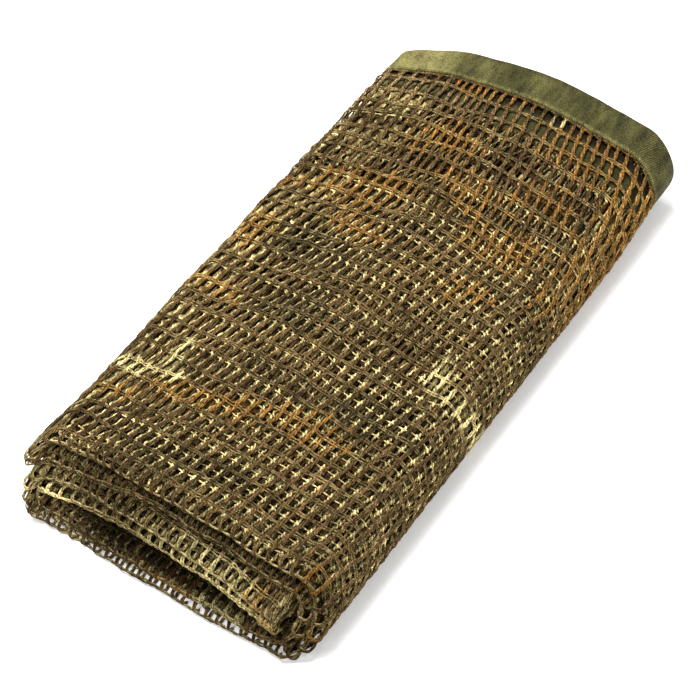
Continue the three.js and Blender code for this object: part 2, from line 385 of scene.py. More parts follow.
# How the inner layer lies. Where it is centred, its knots show in the middle of the holes.
SHIFT_ACROSS = (0.40, 0.50)  # in cells, elsewhere and where it is centred
SHIFT_ALONG = 0.45  # in rows, where it is centred

# Where the layers lie cord on cord, so that the holes are open: middle, half sizes and turn
# in degrees.
OPEN_ROWS = [
    (-10, 73, 20, 17, -5), (21, 91, 11, 5, -4), (22, 73, 10, 5, -4),
    (35, 54, 22, 5, -8), (56, 75, 12, 7, -22), (38, -17, 17, 5, -12),
]
OPEN_SHIFT = (0.65, -0.5)  # of the inner layer there, across and along the cloth


def inside(points, middle_x, middle_y, half_x, half_y, turn):
    """How far inside an ellipse points are, seen from above: 1 in its middle, 0 on its edge."""
    angle = np.radians(turn)
    dx, dy = points[..., 0] - middle_x, points[..., 1] - middle_y
    u = (dx * np.cos(angle) + dy * np.sin(angle)) / half_x
    v = (dy * np.cos(angle) - dx * np.sin(angle)) / half_y
    return 1 - np.hypot(u, v)


def opened(points):
    """How open the holes are: 1 inside the open rows, 0 outside."""
    return smoothstep(np.max([inside(points, *zone) for zone in OPEN_ROWS], 0), 0, 0.35)


def warp(layer, s, t):
    """Where the cloth's square grid has been drawn to, as (s, t)."""
    x = across(s)["x"]
    share = np.interp(t, SECTION_AT, SECTION[:, 0])
    row = 2 * np.pi * t / ROW
    zigzag = np.sin(row) + 0.4 * np.sin(2 * row)
    far_lean = lerp(*FAR_LEAN[layer], smoothstep(x, -55, -10))
    leaning = np.interp(s, LEAN_AT, (0, 1, 1, 0)) * (
        LEAN * (np.clip(t, FAR_LEAN_TO, LEAN_END) - LEAN_END)
        + far_lean * np.minimum(t - FAR_LEAN_TO, 0))
    pushed = RIGHT_PUSH * share * smoothstep(x, 10, 62) - LEFT_PUSH * smoothstep(-x, 15, 62)
    bunched = BUNCH * smoothstep(-x, -15, 45) * np.sin(
        2 * np.pi * (t + 0.25 * x) / BUNCH_LENGTH)
    ds = (leaning + pushed + uneven(s, t, (20, 38, 1.0), (21, 9, 0.35))
          - ZIGZAG["a"] * smoothstep(-x, -35, 30) * zigzag)
    dt = uneven(s, t, (22, 45, 1.3), (23, 14, 0.7)) + bunched
    if layer == "b":
        centred = smoothstep(x + uneven(s, t, (30, 34, 16)), -40, 22)
        centred = centred * (1 - smoothstep(share, 0.70, 0.85))
        shift_s = (lerp(*SHIFT_ACROSS, centred) * CELL + uneven(s, t, (31, 15, 0.6))
                   - ZIGZAG["b"] * (1 - centred) * zigzag)
        shift_t = SHIFT_ALONG * centred * ROW - 0.5 * bunched + uneven(s, t, (32, 19, 1.0))
        cord_on_cord = opened(cloth(s + ds, t + dt, 0))
        ds = ds + lerp(shift_s, OPEN_SHIFT[0], cord_on_cord)
        dt = dt + lerp(shift_t, OPEN_SHIFT[1], cord_on_cord)
    return s + ds, t + dt


FLOOR_GAP = 0.02  # no yarn comes nearer to the floor than this
UP_STEP = 0.3  # a step out of the cloth, to find the way up


def unit(vectors):
    """Rows of vectors, each brought to length 1."""
    return vectors / np.maximum(np.linalg.norm(vectors, axis=2, keepdims=True), 1e-9)


def sideways(middle, up):
    """Unit vectors square to rows of points and to the way up from them."""
    return np.cross(unit(np.gradient(middle, axis=1)), up)


def laid(s, t, lift, pull):
    """Rows of points in the middle of yarns, and which way is sideways and up from each."""
    middle = cloth(s, t, lift, pull)
    up = unit(cloth(s, t, lift + UP_STEP, pull) - middle)
    return middle, sideways(middle, up), up


def ring_of(middle, side, up, angles, wide, high):
    """Rings of points round rows of middles: (rows, length, sides, 3)."""
    return (middle[:, :, None] + side[:, :, None] * (np.cos(angles) * wide)[..., None]
            + up[:, :, None] * (np.sin(angles) * high)[..., None])


def opaque(colour):
    """Colours with an alpha of 1."""
    return np.concatenate([colour, np.ones(colour.shape[:-1] + (1,))], -1)


def tube_faces(rows, length, sides):
    """Faces of rows of closed tubes whose vertices are numbered by row, ring and side."""
    index = np.arange(rows * length * sides).reshape(rows, length, sides)
    a, b = index[:, :-1], index[:, 1:]
    walls = np.stack([a, np.roll(a, -1, 2), np.roll(b, -1, 2), b], -1).reshape(-1, 4)
    first, last = index[:, 0, ::-1], index[:, -1]
    return walls, np.concatenate([first, last])


class Yarns:
    """Collects tubes, and makes one mesh of them."""

    def __init__(self):
        self.points, self.walls, self.caps, self.dye, self.grain = [], [], [], [], []
        self.count = 0

    def add(self, ring, dye, grain):
        """ring is (rows, length, sides, 3). Then come the colour, with painted shade and light in
        it, and grain, the place along and round the yarn that its fibres follow."""
        ring[..., 2] = np.maximum(ring[..., 2], FLOOR_GAP)
        rows, length, sides, _ = ring.shape
        walls, caps = tube_faces(rows, length, sides)
        self.points.append(ring.reshape(-1, 3))
        self.walls.append(walls + self.count)
        self.caps.append(caps + self.count)
        self.dye.append(dye.reshape(-1, 4))
        self.grain.append(grain.reshape(-1, 3))
        self.count += ring.size // 3

    def mesh(self, name):
        faces = [*self.walls, *self.caps]
        sizes = np.concatenate([np.full(len(f), f.shape[1]) for f in faces])
        corners = np.concatenate([f.ravel() for f in faces])
        made = bpy.data.meshes.new(name)
        made.vertices.add(self.count)
        made.vertices.foreach_set("co", (np.concatenate(self.points) * MM).ravel())
        made.loops.add(len(corners))
        made.loops.foreach_set("vertex_index", corners)
        made.polygons.add(len(sizes))
        made.polygons.foreach_set("loop_start", np.cumsum(sizes) - sizes)
        made.polygons.foreach_set("loop_total", sizes)
        made.polygons.foreach_set("use_smooth", np.ones(len(sizes), bool))
        made.update(calc_edges=True)
        for key, kind, field, rows in (
                ("dye", "FLOAT_COLOR", "color", self.dye),
                ("grain", "FLOAT_VECTOR", "vector", self.grain)):
            values = made.attributes.new(key, kind, "POINT").data
            values.foreach_set(field, np.concatenate(rows).ravel())
        piece = bpy.data.objects.new(name, made)
        bpy.context.scene.collection.objects.link(piece)
        return piece


# ------ the print, and painted shade and light

def linear(colour):
    """A colour given as red, green and blue from 0 to 255, in linear light."""
    share = np.array(colour) / 255
    return np.where(share < 0.04045, share / 12.92, ((share + 0.055) / 1.055) ** 2.4)


OLIVE = linear((99, 76, 47))
UMBER = linear((74, 56, 36))
RUST = linear((145, 102, 46))
TAN = linear((222, 200, 132))
MOSS = linear((52, 45, 32))
FADED = linear((165, 148, 99))
DUSTY = linear((132, 106, 70))
REVERSE = linear((204, 182, 118))
INSIDE_SHADE = 0.52  # painted shade: how much of its colour the net keeps deep in the packet

# Blotches of the print on the packet's top, by colour: their middle and half sizes in mm, and
# their turn in degrees.
BLOTCHES = [
    (MOSS, [
        (-28, 10, 24, 9, 5), (-14, -20, 24, 9, 0), (50, -48, 22, 12, 0), (0, -98, 36, 7, 0),
    ]),
    (RUST, [
        (56, 97, 38, 13, -14), (72, 68, 9, 43, 0), (45, 68, 16, 7, -10),
        (-14, 114, 20, 4, 0),
    ]),
    (DUSTY, [
        (-54, 106, 24, 11, 0),
    ]),
    (RUST, [
        (-10, 82, 19, 10, 0), (16, 60, 22, 10, -5), (42, 41, 25, 10, -10),
        (42, 16, 11, 6, 0), (-24, 46, 21, 10, 10), (-17, 26, 16, 7, 0), (-50, 38, 18, 5, 8),
        (-58, 8, 10, 11, 0), (-54, -24, 16, 5, 0), (-52, -82, 12, 6, 0),
        (-24, -72, 23, 4, 4), (-2, -68, 15, 5, 0), (26, -64, 18, 7, -5),
    ]),
    (TAN, [
        (57, -22, 4.5, 9, 0), (68, -29, 13, 5, -4), (-42, -60, 4, 10, 0),
        (-37, -67, 5, 4, 0), (-55, -70, 10, 5, 8), (25, 110, 4, 4, 0),
    ]),
]
BLOTCH_LOOK = (1.2, 0.78)  # how frayed it is, and how much it covers
TAN_LOOK = (0.6, 0.95)


def print_colour(points, s, t):
    """The colour that the cloth is printed in."""
    tone = smoothstep(uneven(s, t, (50, 26, 1.0, 0.6), (51, 7, 0.5)), -0.5, 0.8)
    colour = lerp(OLIVE, UMBER, tone[..., None])
    edge = uneven(s, t, (60, 9, 0.35, 0.4), (61, 3.5, 0.30), (62, 1.3, 0.20))
    for dye, places in BLOTCHES:
        frayed, covers = TAN_LOOK if dye is TAN else BLOTCH_LOOK
        for place_and_size in places:
            share = smoothstep(inside(points, *place_and_size) + frayed * edge, -0.15, 0.35)
            colour = lerp(colour, dye, covers * share[..., None])
    return colour


# Dark colours, painted shade among them, get a warm tint like that of shade, and pale ones
# come close to white: the strength of red and blue for four steps of brightness (powers of two).
TONE_STEPS = (-6.6, -5.2, -3.6, -1.4)
TONE_RED = (1.2, 1.04, 0.98, 0.96)
TONE_BLUE = (0.6, 0.77, 0.93, 1.12)
BRIGHTNESS = np.array([0.21, 0.72, 0.07])  # shares of red, green and blue in it


def toned(colour):
    light = np.log2(np.maximum(colour @ BRIGHTNESS, 1e-4))
    red, blue = (np.interp(light, TONE_STEPS, tone) for tone in (TONE_RED, TONE_BLUE))
    return colour * np.stack([red, np.ones_like(red), blue], -1)


# Painted shade on the near folds of the strips 1 to 6, and how far their print is worn off.
NEAR_SHADE = (0.6, 0.45, 0.8, 0.75, 0.5, 0.9)
NEAR_WORN = (0.0, 0.0, 0.8, 0.2, 0.0, 0.0)
DEEP_SHADE = 0.8  # how much darker the lower strip is where it goes into the hollow
DEEP_FROM = (0, 4)  # how far in front of the middle of its near fold that starts and ends

# Blotches on the near folds: strip, colour, middle and half length across in mm.
NEAR_BLOTCHES = [
    (2, RUST, 7, 13), (2, TAN, 31, 14), (3, RUST, 55, 5),
    (3, TAN, -55, 9), (4, FADED, 32, 26), (4, RUST, 50, 5),
    (6, RUST, 67, 4), (5, RUST, 65, 5), (2.5, RUST, 70, 5),
]


def on_strip(level, strip):
    """1 at the level of a strip, and 0 at the next ones."""
    return smoothstep(0.8 - np.abs(level - strip), 0, 0.4)


def near_blotches(s, t, colour, near):
    """The print's colour with the blotches of the near folds."""
    station = across(s)
    edge = uneven(s, t, (74, 7, 0.5), (75, 2, 0.4))
    for strip, dye, middle, half in NEAR_BLOTCHES:
        share = smoothstep(1 - np.abs(station["x"] - middle) / half + edge, 0.0, 0.4)
        share = share * near * on_strip(level_of(station), strip)
        colour = lerp(colour, dye, share[..., None])
    return colour


def near_edge_look(s, t, colour):
    """The colour of the cloth's near folds, their painted shade and light, and how worn they are.
    """
    station = across(s)
    x, level = station["x"], level_of(station)
    near = 1 - smoothstep(np.abs(t - NEAR_FOLD_AT), 5, 12)
    brown = smoothstep(x, -50, -38) * (1 - smoothstep(x, -18, 2))
    low_turn = smoothstep(x, 57, 62) * (1 - smoothstep(level, 4.6, 5.4))
    # painted shade by strip, painted light towards the left end, a little painted shade in the
    # low right turn
    shade = (np.interp(level, range(1, 7), NEAR_SHADE)
             * (1 + 0.5 * smoothstep(-x, 36, 48)) * (1 - 0.05 * low_turn))
    worn = (np.interp(level, range(1, 7), NEAR_WORN) * (1 + uneven(s, t, (73, 24, 0.5)))
            * (1 - 0.75 * brown) * (1 - 0.5 * smoothstep(x, 42, 52)) * (1 - 0.8 * low_turn))
    deep = (smoothstep(NEAR_FOLD_AT - t, *DEEP_FROM) * on_strip(level, 2)
            * mouth(x, -FAR) / MOUTH)
    return (near_blotches(s, t, colour, near),
            lerp(1, shade, near) * (1 - DEEP_SHADE * deep),
            np.clip(worn * near, 0, 1))


SEAM_SHADE = 0.65  # painted shade on the net right below the outer tape: the share of its colour it keeps
INNER_SHADE_UNDER_WORN = 0.75  # painted shade: how much darker the inner layer is under a worn fold
INNER_SHADE_UNDER_PALE = 0.7  # painted shade: how much darker it is under a pale blotch
OPEN_SHADE = 0.5  # painted shade: how much darker what lies under open holes is


def dyed(points, facing, s, t, layer, yarn, detail):
    """The colour of rings of points on yarns at s and t: print on the side that was printed,
    pale on the other, with painted shade and light."""
    s, t = s[..., None], t[..., None]
    printed, shade, worn = near_edge_look(s, t, print_colour(points, s, t))
    if layer == "b":
        # painted light and shade in bands, and painted shade under worn folds and pale blotches
        bands = uneven(t + 0.15 * s, s, (76, 7, 0.5, 6)) + uneven(t, s, (77, 4, 0.25, 4))
        under_pale = smoothstep(printed[..., 1], 0.2, 0.4)
        shade = (np.minimum(shade, 1) ** 2 * (1 - INNER_SHADE_UNDER_WORN * worn)
                 * (1 + bands) * (1 - INNER_SHADE_UNDER_PALE * under_pale))
        worn = 0 * worn
    else:
        shade = shade * (1 + uneven(t, s, (78, 9, 0.12, 5)))
    # painted shade on what lies under the open holes
    if layer == "b" or detail["dye"] < 1:
        shade = shade * (1 - OPEN_SHADE * opened(points))
    # painted shade right below the outer tape
    shade = shade * lerp(SEAM_SHADE, 1, smoothstep(t - NET_START, 3, 8))
    shown = facing if layer == "a" else -facing
    wear = uneven(s, t, (70, 3.1, 0.25), (71, 1.3, 0.2))
    print_left = smoothstep(shown + wear, -0.75, 0.0) * (1 - worn)
    colour = lerp(REVERSE, printed, print_left[..., None])
    return opaque(toned(colour * (yarn * shade * detail["dye"])[..., None]))


# ------ cords and threads

SELVEDGE = [0.6, 2.2, 3.9, 5.6]  # the close cords of a selvedge, from the cloth's edge
CORDS_AT = np.concatenate([
    SELVEDGE, np.arange(CELL * 1.5, CLOTH_WIDTH - CELL, CELL),
    CLOTH_WIDTH - np.array(SELVEDGE[::-1])])

# The first of two numbers is for the left of the packet, and the second for the right.
TWIST = dict(a=(13, 13), b=(9, 3.6))  # length of one turn of a cord's strands
KNOT_REACH = (3.4, 2.0)  # how far from a knot the inner layer's cords are broad, and lit by painted light
INNER_SHADE_BETWEEN_KNOTS = (0.9, 0.5)  # painted shade: brightness of the inner layer's cords between the knots
INNER_KNOT_LIGHT = (1.3, 1.6)  # and painted light at them
KNOT_LENGTH = 0.8  # how far from a knot all cords are a little thicker
THIN = 0.7  # thickness of a selvedge's cords, but not of its first
RIDGE_WEAR_AND_HIGHLIGHT = 1.2  # painted highlight and worn fibre tips: brightness of the ridges between a cord's creases
OUTER_GROOVE = 0.8  # depth of the creases between the strands of the outer layer


def near_knot(t, reach):
    """1 at a knot of a cord, and less the further it is away."""
    away = ((t / ROW + 0.5) % 1 - 0.5) * ROW
    return np.exp(-(away / reach) ** 2)


def grain_of(along, round_it, yarn):
    """Where points lie along a yarn and round it, and which yarn it is."""
    return np.stack(np.broadcast_arrays(along[..., None], round_it, yarn[..., None]), -1)


def cords(yarns, layer, s_range, t_range, detail):
    """The thick cords that run along the scarf, between two places across and two along it."""
    at = CORDS_AT[(CORDS_AT >= s_range[0]) & (CORDS_AT < s_range[1])]
    if not len(at):
        return
    steps = max(1, round((t_range[1] - t_range[0]) / CELL * detail["cord_steps"]))
    s, t = np.meshgrid(at, np.linspace(*t_range, steps + 1), indexing="ij")
    right = smoothstep(across(s)["x"], -50, 10)
    knot = near_knot(t, KNOT_LENGTH)
    wide_knot = near_knot(t, lerp(*KNOT_REACH, right))

    wander = (uneven(s * 7, t, (80, 2.4, 0.2))
              + detail["rough"] * uneven(s * 7, t, (86, 0.8, 0.16)))
    lift = LAYER_LIFT[layer] + uneven(s * 9, t, (83, 3.0, 0.12))
    warped_s, warped_t = warp(layer, s, t)
    middle, side, up = laid(warped_s + wander, warped_t, lift, detail["pull"])

    swell = (1.05 + 0.16 * knot + uneven(s * 5, t, (81, 2.0, 0.12))
             + detail["rough"] * uneven(s * 5, t, (87, 0.75, 0.2)))
    if layer == "b":
        swell = swell + lerp(-0.15, 0.20, wide_knot)
    inwards = np.minimum(s, CLOTH_WIDTH - s)
    swell = swell * np.where((inwards > 1) & (inwards < 6), THIN, 1.0)
    sides = detail["cord_sides"]
    k = np.arange(sides)
    crease = k % 2
    turned = 2 * np.pi * (t + 0.5 * wander) / lerp(*TWIST[layer], right)
    angles = 2 * np.pi * k / sides + (detail["twisted"] * turned + s)[..., None]
    lobes = np.where(crease, OUTER_GROOVE if layer == "a" else detail["groove"], 1.0)
    half_width, half_height = CORD[layer]
    wide = half_width * detail["broad"] * swell[..., None] * lobes
    high = half_height * swell[..., None] * lobes
    ring = ring_of(middle, side, up, angles, wide, high)

    if layer == "a":
        rubbed = smoothstep(uneven(s * 3, t, (84, 5, 1.0)) + uneven(s, t, (85, 30, 0.3)),
                            -0.5, 0.9)
        yarn = 1.0 + 0.85 * (1 - knot) * rubbed
    else:
        # painted shade between the knots and painted light at them
        yarn = lerp(lerp(*INNER_SHADE_BETWEEN_KNOTS, right), lerp(*INNER_KNOT_LIGHT, right), wide_knot)
        yarn = yarn * (1 - 0.4 * (1 - right) * (1 - smoothstep(t, 28, 48)))
    # painted shade in the creases, painted highlight and wear on the ridges
    yarn = yarn[..., None] * np.where(crease, detail["crease"], RIDGE_WEAR_AND_HIGHLIGHT)
    colour = dyed(ring, np.sin(angles), warped_s, warped_t, layer, yarn, detail)
    yarns.add(ring, colour, grain_of(t, 4.2 * k / sides, s))


STRANDS_APART = 0.3  # how far the strands of a thread spread between two cords
STRAND_OFFSET = 0.36  # of a strand from the middle of its thread at a cord
THREAD_LIFT = 0.12  # of the threads over the cords
STRAND_LIFT = 0.16  # of one strand over the other, by turns


def threads(yarns, layer, s_range, t_range, detail):
    """The thin double threads that cross the cords."""
    at = np.arange(np.ceil(t_range[0] / ROW), np.ceil(t_range[1] / ROW)) * ROW
    if not len(at):
        return
    steps = max(1, round((s_range[1] - s_range[0]) / CELL * detail["thread_steps"]))
    t, s = np.meshgrid(at, np.linspace(*s_range, steps + 1), indexing="ij")
    warped_s, warped_t = warp(layer, s, t)
    warped_t = warped_t + detail["rough"] * uneven(s, t * 5, (95, 1.2, 0.15))
    between = np.abs(np.sin(np.pi * s / CELL))
    spread = STRANDS_APART * between * (0.5 + uneven(s, t * 3, (91, 4, 0.9)))
    thick = 1 + (0.12 + 0.2 * detail["rough"]) * uneven(s, t * 7, (93, 1.2, 1.0))
    sides = detail["thread_sides"]
    k = np.arange(sides)
    angles = 2 * np.pi * k / sides + 0.5 * np.pi
    radius = THREAD[layer] * detail["thread"] * thick[..., None]
    yarn = 0.9 + uneven(t * 13, s, (94, 2.7, 0.35))[..., None]
    for strand in detail["strands"] if layer == "a" else (0,):
        strand_t = (warped_t + strand * (STRAND_OFFSET + spread)
                    + uneven(s, t * 5, (93 if strand > 0 else 92, 2.5, 0.25)))
        lift = (LAYER_LIFT[layer] + THREAD_LIFT
                + STRAND_LIFT * strand * np.sin(2 * np.pi * s / CELL + t))
        middle, side, up = laid(warped_s, strand_t, lift, detail["pull"])
        ring = ring_of(middle, side, up, angles, radius, radius)
        colour = dyed(ring, np.sin(angles), warped_s, strand_t, layer, yarn, detail)
        yarns.add(ring, colour, grain_of(s, 2 * k / sides, t))


# How yarns are made: steps in a cell, sides, depth of a cord's creases and painted shade in them,
# whether it is twisted, which strands a thread has and how thick it is, how far the near folds
# are drawn back, painted shade (1 for none), unevenness, and how broad the cords are.
FINE = dict(cord_steps=8, cord_sides=6, groove=0.6, crease=0.35, twisted=1, thread_steps=5,
            thread_sides=3, strands=(-1, 1), thread=1.0, pull=0.0, dye=1.0, rough=1.0,
            broad=1.0)
LIGHT = dict(FINE, cord_steps=10, cord_sides=4, thread_steps=4, thread_sides=3)
CLOSE = dict(LIGHT, broad=3.0)
# painted shade: close inner cords painted dark, standing for the shade near the tapes at the far
# left
SHADE_BACKING = dict(CLOSE, dye=0.2)
MEDIUM = dict(FINE, cord_steps=4, cord_sides=4, groove=1.0, crease=1.0, twisted=0,
              thread_steps=4, strands=(0,), thread=1.6, rough=0.0)
COARSE = dict(MEDIUM, cord_steps=0.25, cord_sides=3, thread_steps=0.25, thread=1.8, dye=INSIDE_SHADE)

# The inner layer at the near fold of each leg, by the run's level or the turn's two, with
# painted shade where it is made darker.
NEAR_INNER = {
    4: dict(MEDIUM, pull=2.5, dye=0.4),
    (4, 1): dict(MEDIUM, pull=0.5, dye=0.6, broad=1.8),
    1: dict(MEDIUM, pull=2.0, broad=1.8),
    (1, 6): dict(LIGHT, pull=1.2, dye=0.6),
    6: dict(LIGHT, pull=2.5),
    (6, 5): dict(LIGHT, pull=0.5, dye=0.6, broad=2.5),
    5: dict(MEDIUM, pull=2.5, dye=0.4),
    (5, 2): dict(MEDIUM, pull=1.2, dye=0.6),
    2: dict(MEDIUM, pull=2.5),
    (2, 3): dict(MEDIUM, pull=0.5, dye=0.6, broad=1.8),
    3: dict(MEDIUM, pull=2.5, dye=0.3),
}

NEAR_DEPTH = 18  # how much of each ply counts as its near edge
HOLLOW_DEPTH = 60  # and of the two plies that line the hollow
FOLD_REACH = 9  # how much of each ply counts as its far or its inner fold
FAR_SIDE_TO = 48  # where the far left's close inner cords end
LEAN_BANDS = 3  # in which the cloth is made that the lean brings into sight
LEAN_BAND = 16  # width of one

# Places along the cloth, from under the outer tape on.
OUTER_START = PARTS["ply_1"][0]
SHADE_BACKING_START = OUTER_START + 3  # where the dark inner cords of painted shade begin at the far left
SHADE_BACKING_END = OUTER_START + 17.5  # to here on the side of the packet
BELOW_TAPE = OUTER_START + TAPE_WIDTH + SEAM_GAP + INNER_TAPE_DROP + TAPE_LAP
NEAR_START = PARTS["near_fold"][0] - NEAR_DEPTH
NEAR_END = PARTS["near_fold"][1] + NEAR_DEPTH
HOLLOW_START = NEAR_START - HOLLOW_DEPTH
FAR_START, FAR_END = PARTS["far_fold"][0] - FOLD_REACH, PARTS["far_fold"][1] + FOLD_REACH
INNER_START = PARTS["inner_fold"][0] - FOLD_REACH
INNER_END = PARTS["inner_fold"][1] + FOLD_REACH
WHOLE_PLY = (OUTER_START, NEAR_START)
UNDER_PLY = (BELOW_TAPE, NEAR_START)

# What the plies of a leg are made of: the piece, where it starts and ends along the cloth, and
# how its outer and its inner layer are made.
HIDDEN = [("net_inner", WHOLE_PLY, COARSE, COARSE)]
# The two plies that line the hollow: the near one painted darker, as painted shade.
HOLLOW = [
    ("net_hollow", (HOLLOW_START, NEAR_START), dict(MEDIUM, dye=0.4), COARSE),
    ("net_inner", (OUTER_START, HOLLOW_START), COARSE, COARSE),
]
SIDE = ("net_sides", WHOLE_PLY, FINE, None)
OUTERMOST = {
    6: [("net_top", WHOLE_PLY, FINE, None), ("net_top_under", UNDER_PLY, None, LIGHT)],
    (4, 1): [SIDE, ("net_sides", UNDER_PLY, None, MEDIUM)],
    (1, 6): [SIDE, ("net_sides", UNDER_PLY, None, LIGHT)],
    (6, 5): [
        SIDE,
        ("net_sides", (FAR_SIDE_TO, NEAR_START), None, dict(LIGHT, broad=2.3)),
        ("net_sides", (SHADE_BACKING_START, BELOW_TAPE), None, SHADE_BACKING),
        ("net_sides", (BELOW_TAPE, FAR_SIDE_TO), None, CLOSE),
    ],
    1: [("net_bottom", WHOLE_PLY, dict(MEDIUM, thread=2.0), COARSE)],
    2: HOLLOW,
    3: HOLLOW,
}
INNER_PLIES = [
    ("net_inner", (NEAR_END, FAR_START), COARSE, COARSE),
    ("net_far", (FAR_START, FAR_END), MEDIUM, None),
    ("net_inner", (FAR_END, INNER_START), COARSE, COARSE),
    ("net_inner", (INNER_START, INNER_END), dict(COARSE, cord_steps=2, thread_steps=1), None),
    ("net_inner", (INNER_END, PARTS["ply_2"][1]), COARSE, COARSE),
]


def leaned_ply(first, last):
    """The outermost ply of the fifth strip. The lean brings its first cords over the side
    and into sight."""
    for bands in range(LEAN_BANDS):
        span = (first, first + LEAN_BAND)
        in_sight = min(NEAR_START, LEAN_END - bands * LEAN_BAND / LEAN)
        yield span, ("net_side_top", (OUTER_START, in_sight), FINE, None)
        yield span, ("net_side_top", (SHADE_BACKING_END, in_sight), None, CLOSE)
        yield span, ("net_side_top", (SHADE_BACKING_START, SHADE_BACKING_END), None, SHADE_BACKING)
        yield span, ("net_inner", (in_sight, NEAR_START), COARSE, COARSE)
        first = span[1]
    yield (first, last), HIDDEN[0]


def net_parts():
    """Every part of the net, as where it is across the cloth and what it is made of."""
    for leg, span in zip(ROUTE, LEGS):
        where = leg.get("run") or leg["turn"]
        level = leg.get("run") or leg["turn"][0]
        near = "net_near_high" if level > 3 else "net_near_low"
        yield span, (near, (NEAR_START, NEAR_END), FINE, NEAR_INNER[where])
        if where == 5:
            yield from leaned_ply(*span)
        else:
            yield from ((span, part) for part in OUTERMOST.get(where, HIDDEN))
        yield from ((span, part) for part in INNER_PLIES)


def net_pieces():
    """The yarns of the net, by the piece that they belong to."""
    pieces = {}
    for s_range, (name, t_range, *layers) in net_parts():
        for layer, detail in zip("ab", layers):
            if detail:
                yarns = pieces.setdefault(name, Yarns())
                cords(yarns, layer, s_range, t_range, detail)
                threads(yarns, layer, s_range, t_range, detail)
    return pieces


# ------ materials

class Surface:
    """A new material, and the nodes that its surface is made of."""

    def __init__(self, name, settings):
        self.material = bpy.data.materials.new(name)
        self.material.use_nodes = True
        self.tree = self.material.node_tree
        self.shader = self.tree.nodes["Principled BSDF"]
        self.set_inputs(self.shader, settings)

    def set_inputs(self, made, inputs):
        """Gives each input a value, or links another node's output to it."""
        for key, value in inputs.items():
            if isinstance(value, bpy.types.NodeSocket):
                self.tree.links.new(value, made.inputs[key])
            else:
                made.inputs[key].default_value = value

    def node(self, kind, inputs, output=0, **settings):
        """The output of a new node."""
        made = self.tree.nodes.new("ShaderNode" + kind)
        for key, value in settings.items():
            setattr(made, key, value)
        self.set_inputs(made, inputs)
        return made.outputs[output]

    def attribute(self, name, output):
        return self.node("Attribute", {}, output, attribute_name=name)

    def ranged(self, value, old, new):
        """A value brought from one range to another."""
        ends = zip(("From Min", "From Max", "To Min", "To Max"), (*old, *new))
        return self.node("MapRange", dict(ends, Value=value))

    def mottled(self, vector, scale, detail, roughness):
        values = {"Vector": vector, "Scale": scale, "Detail": detail, "Roughness": roughness}
        return self.node("TexNoise", values, "Fac")

    def dyed(self, strength, height, bump):
        """Links the painted colour, painted shade included, at a strength that differs from place
        to place, and a bump.
        """
        colour = self.node("VectorMath", {0: self.attribute("dye", "Color"), "Scale": strength},
                           operation="SCALE")
        normal = self.node("Bump", dict(bump, Height=height))
        self.set_inputs(self.shader, {"Base Color": colour, "Normal": normal})
        return self.material


def yarn_material():
    """Spun yarn: fibres that run along it, and pale flecks of lint."""
    surface = Surface("netting", {"Roughness": 0.95, "Specular IOR Level": 0.12})
    grain = surface.attribute("grain", "Vector")
    stretched = surface.node("VectorMath", {0: grain, 1: (1.3, 2.0, 1.0)}, operation="MULTIPLY")
    fibre = surface.mottled(stretched, 1.0, 1.0, 0.6)
    tone = surface.ranged(fibre, (0.34, 0.66), (0.2, 1.75))
    lint = surface.mottled(grain, 0.9, 2.0, 0.6)
    fleck = surface.ranged(lint, (0.58, 0.72), (0, 1.1))
    strength = surface.node("Math", {0: tone, 1: fleck}, operation="ADD")
    return surface.dyed(strength, fibre, {"Strength": 0.5, "Distance": 0.0002})


def tape_material():
    """Twill tape: slanting ribs, faded patches and specks."""
    surface = Surface("twill_tape", {
        "Roughness": 0.85, "Sheen Weight": 0.03, "Specular IOR Level": 0.12})
    steep = surface.node("VectorMath", {
        0: surface.attribute("grain", "Vector"), 1: (1.0, 0.35, 1.0)}, operation="MULTIPLY")
    twill = surface.node("TexWave", {
        "Vector": steep, "Scale": 0.8, "Distortion": 3.0, "Detail": 2.0}, "Fac",
        bands_direction="DIAGONAL")
    fade = surface.mottled(steep, 0.3, 1.0, 0.5)
    speck = surface.mottled(steep, 2.4, 2.0, 0.7)
    mixed = surface.node("Math", {0: speck, 1: 1.8, 2: fade}, operation="MULTIPLY_ADD")
    tone = surface.ranged(mixed, (1.05, 1.75), (0.3, 1.65))
    rib = surface.ranged(twill, (0, 1), (0.6, 1.4))
    strength = surface.node("Math", {0: tone, 1: rib}, operation="MULTIPLY")
    return surface.dyed(strength, twill, {"Strength": 0.7, "Distance": 0.0003})


# ------ the taped ends

TAPE = linear((67, 65, 33))
TAPE_PALE = linear((142, 134, 82))
STITCH_THREAD = linear((122, 122, 72))
SHADOW_IN_THE_GAP = np.array([0.3, 0.17, 0.1])  # painted shadow: what the inner tape keeps of its colour in the seam gap
ROUNDED_END = 2.2  # how far the outer tape is drawn in at the left side

# Name, height in the strip, offset from the far edge, thickness, painted shade, steps across.
TAPES = [
    ("tape_outer", (STRIP - OUTER_TAPE_THICKNESS) / 2, 0, OUTER_TAPE_THICKNESS, 1, 460),
    ("tape_inner", INNER, -TAPE_WIDTH - SEAM_GAP - INNER_TAPE_DROP, INNER_TAPE_THICKNESS,
     0.64, 160),
]


def tape_outline(offset, thickness):
    """The outline of a tape's end: places along the packet, and heights."""
    half = thickness / 2
    fold = offset - half
    seam = offset - TAPE_WIDTH
    face = np.linspace(0, 1, 15)[1:]
    outline = [(fold + half * np.cos(a), half * np.sin(a))
               for a in np.linspace(-np.pi / 2, np.pi / 2, 9)]
    outline += [(lerp(fold, seam + 0.3, i), half) for i in face]
    outline += [(seam, 0.55 * half), (seam, -0.55 * half)]
    outline += [(lerp(seam + 0.3, fold, i), -half) for i in face[:-1]]
    return np.array(outline).T


